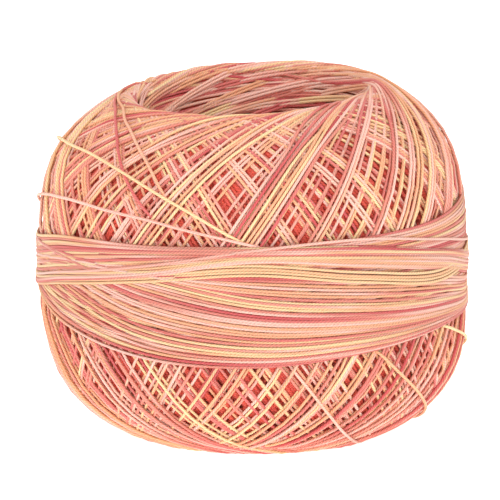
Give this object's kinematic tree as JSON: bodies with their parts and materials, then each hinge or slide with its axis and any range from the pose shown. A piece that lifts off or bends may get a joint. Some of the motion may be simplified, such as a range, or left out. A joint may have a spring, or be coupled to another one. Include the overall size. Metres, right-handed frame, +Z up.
{
  "type": "ball of crochet thread",
  "caption": "Short barrel-shaped ball of variegated cotton crochet thread, cross-wound round an open hole with a belt of flatter turns.",
  "frame": {"origin": "bottom centre of the ball's bounding box, under the middle of the hole, on the surface that the ball stands on", "axes": "+Z up, along the hole; -Y is the front, where the belt is wide; +X is to the right seen from the front"},
  "size_m": [0.06, 0.0598, 0.0472],
  "materials": {
    "cotton_thread": "mercerised cotton with a soft sheen, dyed in soft stretches of coral, salmon, peach, pale yellow and light pink"
  },
  "bodies": {
    "root": {"thread_ball": "cotton_thread"}
  },
  "joints": []
}
